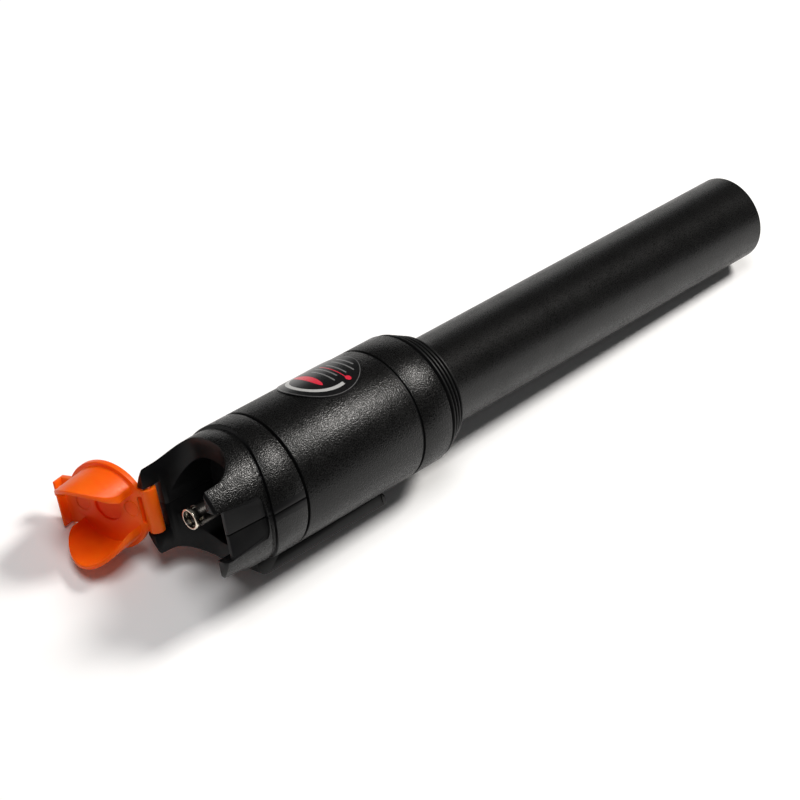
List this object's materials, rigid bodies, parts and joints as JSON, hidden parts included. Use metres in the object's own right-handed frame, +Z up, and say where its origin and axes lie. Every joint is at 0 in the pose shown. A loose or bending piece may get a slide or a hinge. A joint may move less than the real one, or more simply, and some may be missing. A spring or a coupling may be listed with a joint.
{
  "type": "visual fault locator",
  "caption": "Pen-shaped red laser source for tracing breaks in optical fibre, with a slotted nose, hinged dust lid, pocket clip and screw-on battery tube.",
  "frame": {"origin": "on the surface it lies on, under the middle of the whole object's box", "axes": "+Z up, +X along the pen towards the nose, level; the pen's own axis rises slightly towards the nose"},
  "size_m": [0.1646, 0.0402, 0.03],
  "materials": {
    "body_coat": "fine textured black coat",
    "head_coat": "fine textured black coat, gloss black in the channel",
    "lid_plastic": "satin orange, slightly translucent",
    "clip_plastic": "satin black",
    "steel": "plain bright",
    "nickel": "turned, nickel plated",
    "ceramic": "polished cream ceramic",
    "label_face": "gloss black with a fine light outline",
    "laser_brass": "turned",
    "lens_glass": "clear",
    "diode_metal": "gold plated",
    "board_laminate": "green solder mask",
    "black_resin": "moulded",
    "button_rubber": "matte red",
    "seal_rubber": "matte",
    "cell_case": "plain wrapped can"
  },
  "bodies": {
    "root": {"head_upper_shell": "head_coat", "head_lower_shell": "head_coat", "hinge_pin": "steel", "latch_pin": "steel", "port_sleeve": "nickel", "ceramic_sleeve": "ceramic", "laser_housing": "laser_brass", "focusing_lens": "lens_glass", "lens_ring": "laser_brass", "laser_diode": "diode_metal", "barrel": "body_coat", "label": "label_face", "circuit_board": "board_laminate", "driver_chip": "black_resin", "tact_switch": "black_resin", "contact_holder": "black_resin", "front_contact": "laser_brass", "pocket_clip": "clip_plastic", "clip_screw": "steel"},
    "lid": {"lid": "lid_plastic"},
    "button": {"push_button": "button_rubber", "switch_plunger": "button_rubber"},
    "seal": {"seal_washer": "seal_rubber"},
    "tube": {"battery_tube": "body_coat", "battery_front": "cell_case", "battery_rear": "cell_case", "tail_spring": "steel"}
  },
  "joints": [
    {"name": "lid_swing", "type": "hinge", "parent": "root", "child": "lid", "pos_m": [0.06913, -0.00121, 0.01304], "axis": [-0.0506, -0.4934, 0.8683], "range_deg": [0, 165]},
    {"name": "button_press", "type": "slide", "parent": "root", "child": "button", "axis": [-0.0287, 0.8698, 0.4925], "range_m": [0, 0.0004], "stiffness_N_per_m": 1500, "springref_m": -0.0002},
    {"name": "tube_advance", "type": "slide", "parent": "root", "child": "seal", "axis": [-0.9983, 0, -0.0582], "range_m": [0, 0.0045]},
    {"name": "tube_turn", "type": "hinge", "parent": "seal", "child": "tube", "pos_m": [0.02318, 0.00706, 0.01506], "axis": [-0.9983, 0, -0.0582], "range_deg": [0, 1080]}
  ],
  "couplings": [
    {"joint": "tube_turn", "follows": "tube_advance", "rad_per_m": 4188.8}
  ]
}
